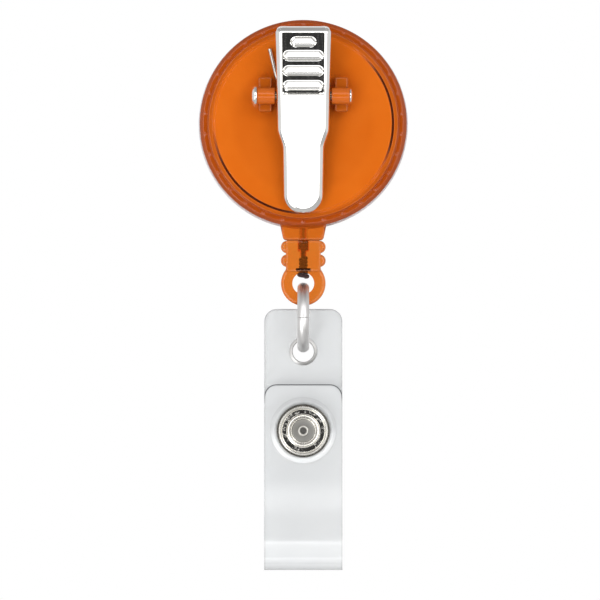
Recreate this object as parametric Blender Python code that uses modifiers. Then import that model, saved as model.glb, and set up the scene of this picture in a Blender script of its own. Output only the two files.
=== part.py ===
"""Retractable badge reel: a spring spool in a round case, with a back clip and a badge strap.

The frame has +Z up, with the reel hanging from its clip and the cord leaving at the bottom.
The clip side faces -Y and the clear front cover faces +Y. The case's axis is the Y axis.
"""

import math

import bmesh
import bpy
from mathutils import Matrix, Vector

MM = 0.001

# Case
CASE_R = 15.75 * MM
CASE_INNER_R = 14.25 * MM
BACK_Y = -4.2 * MM
BAND_Y = -3.4 * MM
FLOOR_Y = -2.8 * MM
CASE_RIM_Y = 2.7 * MM
BEAD_R = 14.4 * MM
GROOVE_OUTER_R = 13.85 * MM
GROOVE_INNER_R = 13.35 * MM
GROOVE_DEPTH = 0.45 * MM
POST_R = 1.5 * MM
POST_TIP_Y = 3.1 * MM

# Front cover
COVER_R = 16.0 * MM
COVER_FACE_R = 13.7 * MM
COVER_FACE_Y = 4.6 * MM
COVER_INNER_Y = 3.4 * MM
COVER_SKIRT_Y = 3.0 * MM
COVER_PLUG_R = 13.95 * MM
COVER_PLUG_Y = 1.9 * MM

# Outlet nose
NOSE_BOTTOM_Z = -17.75 * MM
NOSE_TOP_Z = -15.2 * MM
NOSE_HALF_Y = 2.3 * MM
CORD_R = 0.35 * MM
OUTLET_BORE_R = 0.7 * MM

# Spool, spring and cord
SPOOL_R = 13.2 * MM
DRUM_R = 8.7 * MM
DRUM_INNER_R = 7.8 * MM
CHANNEL_HALF = 1.3 * MM
SPOOL_BACK_Y = -2.4 * MM
SPOOL_FRONT_Y = 2.1 * MM
WOUND_R = 12.5 * MM
SPRING_TURNS = 6

# Cord end
END_TOP_Z = -17.95 * MM
BULGE_HALF_X = 3.41 * MM
BULGE_R = 0.93 * MM
BULGE_Z = (-18.87 * MM, -20.85 * MM)
EYE_Z = -24.3 * MM
EYE_R = 3.4 * MM
EYE_HOLE_R = 1.66 * MM
EYE_HALF_Y = 1.05 * MM
NECK_HALF_Y = 1.9 * MM
CHAMBER_R = 0.8 * MM

# Ring
RING_Z = -29.5 * MM
RING_R = 4.55 * MM
RING_WIRE_R = 0.775 * MM

# Strap
STRAP_TOP_Z = -28.2 * MM
STRAP_HALF_X = 5.95 * MM
STRAP_T = 0.7 * MM
PANEL_Y = 0.6 * MM
FLAP_Y = -2.0 * MM
FLAP_FOOT_Y = -2.9 * MM
FOLD_Y = (PANEL_Y + FLAP_FOOT_Y) / 2
FOLD_R = (PANEL_Y - FLAP_FOOT_Y) / 2
FOLD_Z = -65.85 * MM
BOW_Y = -3.6 * MM
BOW_Z = -62.5 * MM
BOW_TOP_Z = -51.5 * MM
FLAP_TOP_Z = -39.65 * MM
EYELET_Z = -34.66 * MM
EYELET_HOLE_R = 1.62 * MM
SNAP_Z = -46.7 * MM
SNAP_R = 4.02 * MM

# Clip
PIVOT_Y = -7.05 * MM
PIVOT_Z = 4.06 * MM
LEVER_LEAN = math.radians(8.3)
LEVER_DEPTH = 2.6 * MM
LEVER_T = 0.6 * MM
RIVET_R = 0.7 * MM
LUG_R = 1.25 * MM
COIL_R = 1.25 * MM
COIL_WIRE_R = 0.27 * MM

AXIS_Y = Matrix.Rotation(math.radians(-90), 4, "X")
AXIS_X = Matrix.Rotation(math.radians(90), 4, "Y")
FACE_XZ = Matrix.Rotation(math.radians(90), 4, "X")
SIDE_YZ = Matrix.Rotation(math.radians(90), 4, "Z") @ FACE_XZ


def clear_scene():
    for old in list(bpy.data.objects):
        bpy.data.objects.remove(old, do_unlink=True)


def new_collection(name):
    collection = bpy.data.collections.new(name)
    bpy.context.scene.collection.children.link(collection)
    return collection


def new_material(name, colour, roughness, metallic=0.0, transmission=0.0):
    material = bpy.data.materials.new(name)
    material.use_nodes = True
    shader = material.node_tree.nodes["Principled BSDF"]
    shader.inputs["Base Color"].default_value = (*colour, 1.0)
    shader.inputs["Roughness"].default_value = roughness
    shader.inputs["Metallic"].default_value = metallic
    shader.inputs["Transmission Weight"].default_value = transmission
    material.diffuse_color = (*colour, 1.0)
    return material


def add_object(name, data, matrix):
    obj = bpy.data.objects.new(name, data)
    obj.matrix_world = matrix
    return obj


def finish_part(obj, material, joint=None):
    """Puts a part in the reel's collection and, if it moves, under its joint's empty."""
    PARTS.objects.link(obj)
    obj.data.materials.clear()
    obj.data.materials.append(material)
    if joint:
        obj.parent = joint
        obj.matrix_parent_inverse = Matrix.Translation(joint.location).inverted()
    return obj


def joint_empty(name, x, y, z):
    empty = bpy.data.objects.new(name, None)
    empty.location = (x, y, z)
    empty.empty_display_size = 2 * MM
    PARTS.objects.link(empty)
    return empty


def make_cutter(obj):
    CUTTERS.objects.link(obj)
    obj.hide_render = True
    obj.display_type = "WIRE"
    return obj


def turned(name, profile, steps, matrix, closed=False):
    """A turned shape: (radius, height) points down the outer side, spun about local Z."""
    mesh = bpy.data.meshes.new(name)
    shape = bmesh.new()
    points = [shape.verts.new((radius, 0.0, height)) for radius, height in profile]
    for first, second in zip(points, points[1:]):
        shape.edges.new((first, second))
    if closed:
        shape.edges.new((points[-1], points[0]))
    shape.to_mesh(mesh)
    shape.free()
    obj = add_object(name, mesh, matrix)
    screw = obj.modifiers.new("Turn", "SCREW")
    screw.steps = steps
    screw.render_steps = steps
    screw.use_merge_vertices = True
    screw.merge_threshold = 0.00001
    screw.use_smooth_shade = True
    return obj


def curve_to_mesh(curve_object):
    """The welded mesh of a curve object, in the curve's place."""
    bpy.context.scene.collection.objects.link(curve_object)
    bpy.context.view_layer.update()
    graph = bpy.context.evaluated_depsgraph_get()
    mesh = bpy.data.meshes.new_from_object(curve_object.evaluated_get(graph))
    shape = bmesh.new()
    shape.from_mesh(mesh)
    bmesh.ops.remove_doubles(shape, verts=shape.verts, dist=0.000001)
    bmesh.ops.recalc_face_normals(shape, faces=shape.faces)
    shape.to_mesh(mesh)
    shape.free()
    name = curve_object.name
    matrix = curve_object.matrix_world.copy()
    bpy.data.objects.remove(curve_object, do_unlink=True)
    return add_object(name, mesh, matrix)


def add_spline(curve, points, cyclic):
    spline = curve.splines.new("POLY")
    spline.points.add(len(points) - 1)
    for place, point in zip(spline.points, points):
        place.co = (*point, 0.0, 1.0) if len(point) == 2 else (*point, 1.0)
    spline.use_cyclic_u = cyclic


def slab(name, outlines, low, high, matrix, rounding=0.0, rounding_steps=1):
    """A flat outline between two local Z heights. Later outlines are holes in the first."""
    curve = bpy.data.curves.new(name, "CURVE")
    curve.dimensions = "2D"
    curve.fill_mode = "BOTH"
    curve.extrude = (high - low) / 2 - rounding
    curve.bevel_depth = rounding
    curve.bevel_resolution = rounding_steps
    curve.offset = -rounding
    for outline in outlines:
        add_spline(curve, outline, True)
    lift = Matrix.Translation((0.0, 0.0, (low + high) / 2))
    return curve_to_mesh(add_object(name, curve, matrix @ lift))


def wire(name, points, radius, bevel_resolution=2):
    curve = bpy.data.curves.new(name, "CURVE")
    curve.dimensions = "3D"
    curve.bevel_depth = radius
    curve.bevel_resolution = bevel_resolution
    curve.use_fill_caps = True
    add_spline(curve, points, False)
    obj = curve_to_mesh(add_object(name, curve, Matrix.Identity(4)))
    obj.data.shade_smooth()
    obj.data.set_sharp_from_angle(angle=math.radians(50))
    return obj


def cylinder(name, radius, length, matrix, radius_top=None, segments=32):
    mesh = bpy.data.meshes.new(name)
    shape = bmesh.new()
    bmesh.ops.create_cone(
        shape,
        cap_ends=True,
        segments=segments,
        radius1=radius,
        radius2=radius if radius_top is None else radius_top,
        depth=length,
    )
    shape.to_mesh(mesh)
    shape.free()
    return add_object(name, mesh, matrix)


def box(name, low, high):
    mesh = bpy.data.meshes.new(name)
    shape = bmesh.new()
    size = Vector(high) - Vector(low)
    middle = (Vector(high) + Vector(low)) / 2
    place = Matrix.Translation(middle) @ Matrix.Diagonal((*size, 1.0))
    bmesh.ops.create_cube(shape, size=1.0, matrix=place)
    shape.to_mesh(mesh)
    shape.free()
    return add_object(name, mesh, Matrix.Identity(4))


def combine(obj, other, operation):
    """Adds or removes another shape, which stays in the cutters' collection."""
    make_cutter(other)
    modifier = obj.modifiers.new(other.name, "BOOLEAN")
    modifier.operation = operation
    modifier.object = other


def arc(centre_u, centre_v, radius, start, end, count):
    """Points round an arc, by angles in degrees."""
    angles = [math.radians(start + (end - start) * i / count) for i in range(count + 1)]
    return [(centre_u + radius * math.cos(a), centre_v + radius * math.sin(a)) for a in angles]


def rounded_rectangle(half_width, low, high, radius, count=4, bottom_radius=None):
    """A rectangle centred across U, with its top corners rounded, and its bottom ones too."""
    foot = radius if bottom_radius is None else bottom_radius
    top = arc(half_width - radius, high - radius, radius, 0, 90, count)
    top += arc(radius - half_width, high - radius, radius, 90, 180, count)
    if not foot:
        return top + [(-half_width, low), (half_width, low)]
    low_side = arc(foot - half_width, low + foot, foot, 180, 270, count)
    return top + low_side + arc(half_width - foot, low + foot, foot, 270, 360, count)


def lever_matrix():
    """The lever's own frame at its pivot: U up the lever is local Y, and out is local Z."""
    out = Vector((0.0, -math.cos(LEVER_LEAN), -math.sin(LEVER_LEAN)))
    up = Vector((0.0, -math.sin(LEVER_LEAN), math.cos(LEVER_LEAN)))
    across = up.cross(out)
    axes = Matrix((across, up, out)).transposed().to_4x4()
    return Matrix.Translation((0.0, PIVOT_Y, PIVOT_Z)) @ axes


def build_rear_case(material):
    profile = [
        (0.0, POST_TIP_Y),
        (POST_R - 0.3 * MM, POST_TIP_Y),
        (POST_R, POST_TIP_Y - 0.3 * MM),
        (POST_R, FLOOR_Y),
        (CASE_INNER_R, FLOOR_Y),
        (CASE_INNER_R, CASE_RIM_Y),
        (CASE_R, CASE_RIM_Y),
        (CASE_R, BAND_Y + 0.6 * MM),
        (CASE_R - 0.15 * MM, BAND_Y + 0.25 * MM),
        (CASE_R - 0.5 * MM, BAND_Y),
        (BEAD_R + 0.1 * MM, BAND_Y),
        (BEAD_R, BACK_Y + 0.15 * MM),
        (BEAD_R - 0.12 * MM, BACK_Y),
        (GROOVE_OUTER_R, BACK_Y),
        (GROOVE_OUTER_R - 0.05 * MM, BACK_Y + GROOVE_DEPTH),
        (GROOVE_INNER_R + 0.05 * MM, BACK_Y + GROOVE_DEPTH),
        (GROOVE_INNER_R, BACK_Y),
        (0.0, BACK_Y),
    ]
    case = turned("rear_case", profile, 48, AXIS_Y)

    foot_half = 3.03 * MM
    root_half = 3.62 * MM
    corner = 0.5 * MM
    nose_outline = [(root_half, NOSE_TOP_Z)]
    nose_outline += arc(foot_half - corner, NOSE_BOTTOM_Z + corner, corner, -10, -90, 3)
    nose_outline += arc(corner - foot_half, NOSE_BOTTOM_Z + corner, corner, -90, -170, 3)
    nose_outline += [(-root_half, NOSE_TOP_Z)]
    nose = slab("nose_block", [nose_outline], -NOSE_HALF_Y, NOSE_HALF_Y, FACE_XZ)
    combine(case, nose, "UNION")
    for side in (-1, 1):
        for shape in lug_shapes(side):
            combine(case, shape, "UNION")

    bore_middle = Matrix.Translation((0.0, 0.0, -16.2 * MM))
    combine(case, cylinder("outlet_bore", OUTLET_BORE_R, 4.4 * MM, bore_middle), "DIFFERENCE")
    flare_middle = Matrix.Translation((0.0, 0.0, -14.7 * MM))
    flare = cylinder("outlet_flare", OUTLET_BORE_R, 1.4 * MM, flare_middle, 2.1 * MM)
    combine(case, flare, "DIFFERENCE")
    rivet_place = Matrix.Translation((0.0, PIVOT_Y, PIVOT_Z)) @ AXIS_X
    hole = cylinder("lug_hole", RIVET_R + 0.15 * MM, 16 * MM, rivet_place, segments=20)
    combine(case, hole, "DIFFERENCE")
    slot = box(
        "post_slot",
        (-0.25 * MM, -1.4 * MM, -2 * MM),
        (0.25 * MM, POST_TIP_Y + 1 * MM, 2 * MM),
    )
    combine(case, slot, "DIFFERENCE")
    finish_part(case, material)


def lug_shapes(side):
    """One hinge lug: a saddle block on the back disc, and the barrel for the rivet."""
    ends = sorted((side * 4.75 * MM, side * 6.8 * MM))
    block = box(
        f"lug_block_{side}",
        (ends[0], PIVOT_Y + 0.5 * MM, PIVOT_Z - 2.4 * MM),
        (ends[1], BACK_Y + 0.5 * MM, PIVOT_Z + 2.9 * MM),
    )
    place = Matrix.Translation((side * 5.8 * MM, PIVOT_Y, PIVOT_Z)) @ AXIS_X
    barrel = cylinder(f"lug_barrel_{side}", LUG_R, 2.4 * MM, place, segments=24)
    return block, barrel


def build_front_cover(material):
    boss_r = 2.8 * MM
    boss_hole_r = 1.8 * MM
    boss_y = 2.4 * MM
    profile = [
        (0.0, COVER_FACE_Y),
        (COVER_FACE_R, COVER_FACE_Y),
        (14.8 * MM, 4.4 * MM),
        (15.55 * MM, 3.95 * MM),
        (COVER_R - 0.1 * MM, 3.45 * MM),
        (COVER_R, COVER_SKIRT_Y + 0.1 * MM),
        (COVER_R - 0.1 * MM, COVER_SKIRT_Y),
        (COVER_PLUG_R, COVER_SKIRT_Y),
        (COVER_PLUG_R, COVER_PLUG_Y),
        (COVER_PLUG_R - 0.6 * MM, COVER_PLUG_Y),
        (COVER_PLUG_R - 0.6 * MM, COVER_INNER_Y),
        (boss_r, COVER_INNER_Y),
        (boss_r, boss_y),
        (boss_hole_r, boss_y),
        (boss_hole_r, COVER_INNER_Y),
        (0.0, COVER_INNER_Y),
    ]
    finish_part(turned("front_cover", profile, 48, AXIS_Y), material)


def build_spool(material, joint):
    bore_r = POST_R + 0.3 * MM
    web_y = SPOOL_BACK_Y + 0.9 * MM
    profile = [
        (DRUM_INNER_R, SPOOL_FRONT_Y),
        (SPOOL_R, SPOOL_FRONT_Y),
        (SPOOL_R, CHANNEL_HALF),
        (DRUM_R, CHANNEL_HALF),
        (DRUM_R, -CHANNEL_HALF),
        (SPOOL_R, -CHANNEL_HALF),
        (SPOOL_R, SPOOL_BACK_Y),
        (bore_r, SPOOL_BACK_Y),
        (bore_r, web_y),
        (DRUM_INNER_R, web_y),
    ]
    finish_part(turned("spool", profile, 40, AXIS_Y, closed=True), material, joint)


def build_power_spring(material):
    """A flat strip: its inner end sits in the post's slot, and it winds out to the drum."""
    inner_r = 2.1 * MM
    outer_r = 7.4 * MM
    per_turn = 18
    count = SPRING_TURNS * per_turn
    middle = [(0.0, -1.2 * MM), (0.0, 1.5 * MM)]
    for i in range(count + 1):
        angle = math.radians(90 - 360 * i / per_turn)
        radius = inner_r + (outer_r - inner_r) * i / count
        middle.append((radius * math.cos(angle), radius * math.sin(angle)))
    mesh = bpy.data.meshes.new("power_spring")
    shape = bmesh.new()
    low = [shape.verts.new((x, -1.1 * MM, z)) for x, z in middle]
    high = [shape.verts.new((x, 1.7 * MM, z)) for x, z in middle]
    for i in range(len(middle) - 1):
        shape.faces.new((low[i], low[i + 1], high[i + 1], high[i]))
    shape.to_mesh(mesh)
    shape.free()
    spring = add_object("power_spring", mesh, Matrix.Identity(4))
    strip = spring.modifiers.new("Strip", "SOLIDIFY")
    strip.thickness = 0.18 * MM
    strip.offset = 0.0
    finish_part(spring, material)


def build_cord(material, spool_joint, pull_joint):
    """The cord's wound part, its lead to the outlet, its run to the cord end and its knot."""
    wound = [
        (DRUM_R + 0.1 * MM, 1.15 * MM),
        (WOUND_R, 1.15 * MM),
        (WOUND_R, -1.15 * MM),
        (DRUM_R + 0.1 * MM, -1.15 * MM),
    ]
    winding = turned("cord_winding", wound, 40, AXIS_Y, closed=True)
    finish_part(winding, material, spool_joint)

    bend_z = -14.6 * MM
    leave_r = WOUND_R + CORD_R + 0.1 * MM
    leave = math.acos(leave_r / -bend_z)
    start = Vector((leave_r * math.sin(leave), 0.0, -leave_r * math.cos(leave)))
    bend = Vector((0.0, 0.0, bend_z))
    below = Vector((0.0, 0.0, -15.5 * MM))
    near = bend.lerp(start, 0.09)
    after = bend.lerp(below, 0.6)
    curve = [near, (near + 2 * bend + after) / 4, after]
    finish_part(wire("cord_lead", [start, *curve, below], CORD_R), material)

    run = [(0.0, 0.0, z * MM) for z in (-15.6, -17.0, -18.5, -20.05)]
    finish_part(wire("cord_run", run, CORD_R), material)

    turn_r = 0.36 * MM
    wraps = 2.3
    knot = []
    for i in range(29):
        angle = 2 * math.pi * wraps * i / 28
        height = (-20.5 - 1.5 * i / 28) * MM
        knot.append((turn_r * math.cos(angle), turn_r * math.sin(angle), height))
    knot += [(0.38 * MM, 0.0, -22.5 * MM), (0.4 * MM, 0.0, -23.3 * MM)]
    finish_part(wire("cord_knot", knot, 0.31 * MM), material, pull_joint)


def cord_end_outline(bottom_z):
    """One side of the ribbed neck, from its top to its waist, and the other side back up."""
    side = []
    for z in BULGE_Z:
        side += arc(BULGE_HALF_X - BULGE_R, z, BULGE_R, 72, -72, 6)
    side.append((2.56 * MM, bottom_z))
    top = [(2.6 * MM, END_TOP_Z)]
    return top + side + [(-x, z) for x, z in reversed(side)] + [(-2.6 * MM, END_TOP_Z)]


def build_cord_end(material, joint):
    waist_z = -22.3 * MM
    neck = slab(
        "cord_end",
        [cord_end_outline(waist_z)],
        -NECK_HALF_Y,
        NECK_HALF_Y,
        FACE_XZ,
    )
    edges = neck.modifiers.new("Round edges", "BEVEL")
    edges.width = 0.45 * MM
    edges.segments = 2
    edges.limit_method = "ANGLE"
    edges.angle_limit = math.radians(60)
    disc = [(EYE_R * math.cos(a), EYE_Z + EYE_R * math.sin(a)) for a in circle_angles(40)]
    eye = slab("eye_disc", [disc], -EYE_HALF_Y, EYE_HALF_Y, FACE_XZ, 0.3 * MM)
    combine(neck, eye, "UNION")
    hole_place = Matrix.Translation((0.0, 0.0, EYE_Z)) @ AXIS_Y
    combine(neck, cylinder("eye_hole", EYE_HOLE_R, 6 * MM, hole_place), "DIFFERENCE")
    for name, radius, low, high in (
        ("cord_mouth", 0.75 * MM, -19.2 * MM, -17.0 * MM),
        ("cord_bore", 0.5 * MM, -20.5 * MM, -18.5 * MM),
        ("knot_chamber", CHAMBER_R, -23.4 * MM, -20.1 * MM),
    ):
        place = Matrix.Translation((0.0, 0.0, (low + high) / 2))
        cutter = cylinder(name, radius, high - low, place, segments=20)
        combine(neck, cutter, "DIFFERENCE")
    finish_part(neck, material, joint)


def circle_angles(count):
    return [2 * math.pi * i / count for i in range(count)]


def build_ring(material, joint):
    """A round-wire ring, edge-on to the front, with its butt joint facing -Y."""
    half_gap = 0.08 * MM / RING_R
    count = 44
    points = []
    for i in range(count + 1):
        angle = math.pi + half_gap + (2 * math.pi - 2 * half_gap) * i / count
        points.append((0.0, RING_R * math.cos(angle), RING_Z + RING_R * math.sin(angle)))
    finish_part(wire("ring", points, RING_WIRE_R, 3), material, joint)


def build_strap(material, strap_joint, flap_joint):
    """The vinyl strip: the back panel, the fold at the bottom, and the flap in front."""
    half_t = STRAP_T / 2
    seam = 0.1 * MM
    outline = rounded_rectangle(STRAP_HALF_X, FOLD_Z + seam, STRAP_TOP_Z, 1.9 * MM, 4, 0)
    panel = slab("strap_back", [outline], -PANEL_Y - half_t, half_t - PANEL_Y, FACE_XZ)
    cut_round(panel, "eyelet_seat", 1.98 * MM, EYELET_Z)
    cut_round(panel, "stud_seat", 1.5 * MM, SNAP_Z)
    finish_part(panel, material, strap_joint)

    middle = [
        (FLAP_FOOT_Y, FOLD_Z + seam),
        (BOW_Y + 0.1 * MM, BOW_Z - 1.0 * MM),
        (BOW_Y, BOW_Z),
        (BOW_Y + 0.1 * MM, BOW_Z + 1.0 * MM),
        (FLAP_Y - 0.1 * MM, BOW_TOP_Z - 1.0 * MM),
        (FLAP_Y, BOW_TOP_Z),
        (FLAP_Y, FLAP_TOP_Z + 1.0 * MM),
    ]
    flap = slab("strap_flap", [strip_section(middle)], -STRAP_HALF_X, STRAP_HALF_X, SIDE_YZ)
    outline = rounded_rectangle(STRAP_HALF_X + seam, FOLD_Z - seam, FLAP_TOP_Z, 1.8 * MM, 4, 0)
    combine(flap, slab("flap_outline", [outline], -5 * MM, 10 * MM, FACE_XZ), "INTERSECT")
    cut_round(flap, "cap_seat", 1.5 * MM, SNAP_Z)
    finish_part(flap, material, flap_joint)

    bend = arc(FOLD_Y, FOLD_Z, FOLD_R + half_t, 0, -180, 12)
    bend += arc(FOLD_Y, FOLD_Z, FOLD_R - half_t, -180, 0, 12)
    fold = slab("strap_fold", [bend], -STRAP_HALF_X, STRAP_HALF_X, SIDE_YZ)
    finish_part(fold, material, strap_joint)


def strip_section(middle):
    """The outline of the strap's thickness along a line of (y, z) points."""
    left, right = [], []
    for i, here in enumerate(middle):
        before = Vector(middle[max(i - 1, 0)])
        after = Vector(middle[min(i + 1, len(middle) - 1)])
        along = (after - before).normalized()
        across = Vector((-along.y, along.x)) * STRAP_T / 2
        left.append(tuple(Vector(here) + across))
        right.append(tuple(Vector(here) - across))
    return left + right[::-1]


def cut_round(obj, name, radius, z):
    place = Matrix.Translation((0.0, 0.0, z)) @ AXIS_Y
    combine(obj, cylinder(name, radius, 12 * MM, place), "DIFFERENCE")


def build_eyelet(material, joint):
    barrel_r = 1.88 * MM
    flange_r = 2.05 * MM
    inside = STRAP_T / 2 + 0.05 * MM
    outside = inside + 0.15 * MM
    profile = [
        (EYELET_HOLE_R, outside - 0.05 * MM),
        (EYELET_HOLE_R + 0.1 * MM, outside),
        (flange_r - 0.07 * MM, outside),
        (flange_r, inside),
        (barrel_r, inside),
        (barrel_r, -inside),
        (flange_r, -inside),
        (flange_r - 0.07 * MM, -outside),
        (EYELET_HOLE_R + 0.1 * MM, -outside),
        (EYELET_HOLE_R, 0.05 * MM - outside),
    ]
    place = Matrix.Translation((0.0, PANEL_Y, EYELET_Z)) @ AXIS_Y
    finish_part(turned("strap_eyelet", profile, 28, place, closed=True), material, joint)


def build_snap(material, strap_joint, flap_joint):
    """The four snap parts. Heights are along Y, and the cap's face looks to -Y."""
    place = Matrix.Translation((0.0, 0.0, SNAP_Z)) @ AXIS_Y
    flap_out = FLAP_Y - STRAP_T / 2
    cap = [
        (0.0, flap_out + 0.63 * MM),
        (1.3 * MM, flap_out + 0.63 * MM),
        (1.3 * MM, flap_out - 0.07 * MM),
        (3.8 * MM, flap_out - 0.07 * MM),
        (SNAP_R, flap_out - 0.35 * MM),
        (3.98 * MM, flap_out - 0.7 * MM),
        (3.7 * MM, flap_out - 0.9 * MM),
        (3.42 * MM, flap_out - 0.7 * MM),
        (3.35 * MM, flap_out - 0.4 * MM),
        (2.45 * MM, flap_out - 0.4 * MM),
        (2.3 * MM, flap_out - 0.7 * MM),
        (2.0 * MM, flap_out - 0.75 * MM),
        (1.85 * MM, flap_out - 0.5 * MM),
        (0.8 * MM, flap_out - 0.5 * MM),
        (0.7 * MM, flap_out - 0.8 * MM),
        (0.55 * MM, flap_out - 0.8 * MM),
        (0.45 * MM, flap_out - 0.55 * MM),
        (0.0, flap_out - 0.55 * MM),
    ]
    finish_part(turned("snap_cap", cap, 32, place), material, flap_joint)

    flap_in = FLAP_Y + STRAP_T / 2
    socket = [
        (0.0, flap_in + 0.33 * MM),
        (2.15 * MM, flap_in + 0.33 * MM),
        (2.15 * MM, flap_in + 1.2 * MM),
        (2.6 * MM, flap_in + 1.32 * MM),
        (3.2 * MM, flap_in + 1.18 * MM),
        (3.5 * MM, flap_in + 0.75 * MM),
        (3.5 * MM, flap_in + 0.3 * MM),
        (3.3 * MM, flap_in + 0.06 * MM),
        (0.0, flap_in + 0.06 * MM),
    ]
    finish_part(turned("snap_socket", socket, 24, place), material, flap_joint)

    panel_in = PANEL_Y - STRAP_T / 2
    stud = [
        (0.0, panel_in - 0.06 * MM),
        (3.4 * MM, panel_in - 0.06 * MM),
        (3.4 * MM, panel_in - 0.26 * MM),
        (1.85 * MM, panel_in - 0.32 * MM),
        (1.7 * MM, panel_in - 0.6 * MM),
        (1.92 * MM, panel_in - 1.0 * MM),
        (1.85 * MM, panel_in - 1.25 * MM),
        (1.6 * MM, panel_in - 1.38 * MM),
        (0.0, panel_in - 1.38 * MM),
    ]
    finish_part(turned("snap_stud", stud, 24, place), material, strap_joint)

    panel_out = PANEL_Y + STRAP_T / 2
    post = [
        (0.0, panel_out + 0.9 * MM),
        (2.5 * MM, panel_out + 0.8 * MM),
        (3.5 * MM, panel_out + 0.5 * MM),
        (3.9 * MM, panel_out + 0.2 * MM),
        (3.85 * MM, panel_out + 0.07 * MM),
        (1.3 * MM, panel_out + 0.07 * MM),
        (1.3 * MM, panel_out - 0.6 * MM),
        (0.0, panel_out - 0.6 * MM),
    ]
    finish_part(turned("snap_post", post, 24, place), material, strap_joint)


def lever_outline(inset):
    """The lever from above: wide thumb end, shoulder, and narrow jaw end with a round tip."""
    thumb_half = 4.2 * MM - inset
    shoulder_half = 3.92 * MM - inset
    jaw_half = 3.14 * MM - inset
    tip_r = 3.0 * MM - inset
    thumb_u = 10.6 * MM - inset
    corner = 0.9 * MM - inset / 2
    right = arc(thumb_half - corner, thumb_u - corner, corner, 90, 0, 4)
    right += [(shoulder_half, -5.0 * MM), (shoulder_half - 0.2 * MM, -5.7 * MM)]
    right += [(jaw_half + 0.2 * MM, -6.9 * MM), (jaw_half, -7.6 * MM)]
    tip = arc(0.0, -17.7 * MM + inset + tip_r, tip_r, 0, -180, 14)
    return right + tip + [(-x, u) for x, u in reversed(right)]


def grip_outlines():
    """The grip pocket's edge, and the four bars left standing in it."""
    pocket = rounded_rectangle(3.45 * MM, 0.45 * MM, 9.55 * MM, 0.35 * MM, 2)
    bars = [(8.23 * MM, 1.84 * MM), (6.17 * MM, 3.0 * MM)]
    bars += [(3.87 * MM, 3.0 * MM), (1.67 * MM, 3.0 * MM)]
    half = 0.78 * MM
    shapes = [rounded_rectangle(wide, u - half, u + half, 0.7 * MM, 3) for u, wide in bars]
    return [pocket, *shapes]


def build_clip_lever(material, joint):
    frame = lever_matrix()
    lever = slab(
        "clip_lever",
        [lever_outline(0.0)],
        -1.2 * MM,
        LEVER_DEPTH,
        frame,
        0.5 * MM,
        2,
    )
    hollow = slab("lever_hollow", [lever_outline(LEVER_T)], -3 * MM, LEVER_DEPTH - LEVER_T, frame)
    combine(lever, hollow, "DIFFERENCE")
    below = box("lever_below", (-6 * MM, -20 * MM, -4 * MM), (6 * MM, 12 * MM, 0.0))
    below.matrix_world = frame
    combine(lever, below, "DIFFERENCE")
    for side in (-1, 1):
        place = frame @ Matrix.Translation((side * 3.72 * MM, 0.0, 0.3 * MM)) @ AXIS_X
        ear = cylinder(f"lever_ear_{side}", 1.6 * MM, LEVER_T, place, segments=24)
        combine(lever, ear, "UNION")
    pocket = slab("grip_pocket", grip_outlines(), LEVER_DEPTH - 0.3 * MM, 4 * MM, frame)
    combine(lever, pocket, "DIFFERENCE")
    hole = cylinder("lever_hole", RIVET_R + 0.15 * MM, 12 * MM, frame @ AXIS_X, segments=20)
    combine(lever, hole, "DIFFERENCE")
    finish_part(lever, material, joint)


def build_clip_rivet(material):
    """The rivet lies along X: its domed head is at -X and its peened end at +X."""
    head = -7.05 * MM
    tail = 7.05 * MM
    profile = [
        (0.0, tail + 0.4 * MM),
        (0.8 * MM, tail + 0.38 * MM),
        (1.1 * MM, tail + 0.2 * MM),
        (1.1 * MM, tail),
        (RIVET_R, tail),
        (RIVET_R, head),
        (1.55 * MM, head),
        (1.5 * MM, head - 0.25 * MM),
        (1.2 * MM, head - 0.6 * MM),
        (0.65 * MM, head - 0.8 * MM),
        (0.0, head - 0.85 * MM),
    ]
    place = Matrix.Translation((0.0, PIVOT_Y, PIVOT_Z)) @ AXIS_X
    finish_part(turned("clip_rivet", profile, 24, place), material)


def build_clip_spring(material):
    """A torsion spring round the rivet: one leg on the case back, one under the thumb end."""
    per_turn = 14
    turns = 4.5
    left = -2.85 * MM
    pitch = 0.6 * MM
    foot = [
        (-5.1 * MM, BACK_Y - COIL_WIRE_R - 0.12 * MM, 11.25 * MM),
        (-3.95 * MM, -5.2 * MM, 6.45 * MM),
        (-3.0 * MM, -5.6 * MM, 5.1 * MM),
    ]
    coil = []
    for i in range(int(per_turn * turns) + 1):
        angle = 2 * math.pi * i / per_turn
        y = PIVOT_Y + COIL_R * math.cos(angle)
        z = PIVOT_Z - COIL_R * math.sin(angle)
        coil.append((left + pitch * i / per_turn, y, z))
    right = coil[-1][0]
    frame = lever_matrix()
    leg = [frame @ Vector((right, u * MM, w * MM)) for u, w in ((2.5, 1.5), (6.5, 1.65))]
    points = [*foot, *coil, *leg]
    finish_part(wire("clip_spring", points, COIL_WIRE_R), material)


clear_scene()
PARTS = new_collection("retractable_badge_reel")
CUTTERS = new_collection("cutters")

orange = new_material("orange_plastic", (0.80, 0.20, 0.02), 0.2, transmission=0.4)
orange_end = new_material("orange_end_plastic", (0.85, 0.24, 0.03), 0.2, transmission=0.5)
clear = new_material("clear_plastic", (0.93, 0.92, 0.93), 0.08, transmission=0.9)
vinyl = new_material("clear_vinyl", (0.86, 0.88, 0.88), 0.25, transmission=0.6)
white = new_material("white_plastic", (0.85, 0.84, 0.80), 0.4)
cord = new_material("maroon_cord", (0.16, 0.02, 0.03), 0.8)
nickel = new_material("bright_nickel", (0.86, 0.85, 0.82), 0.15, metallic=1.0)
snap_metal = new_material("snap_nickel", (0.62, 0.60, 0.57), 0.25, metallic=1.0)
spring_steel = new_material("spring_steel", (0.55, 0.55, 0.56), 0.3, metallic=1.0)

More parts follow.
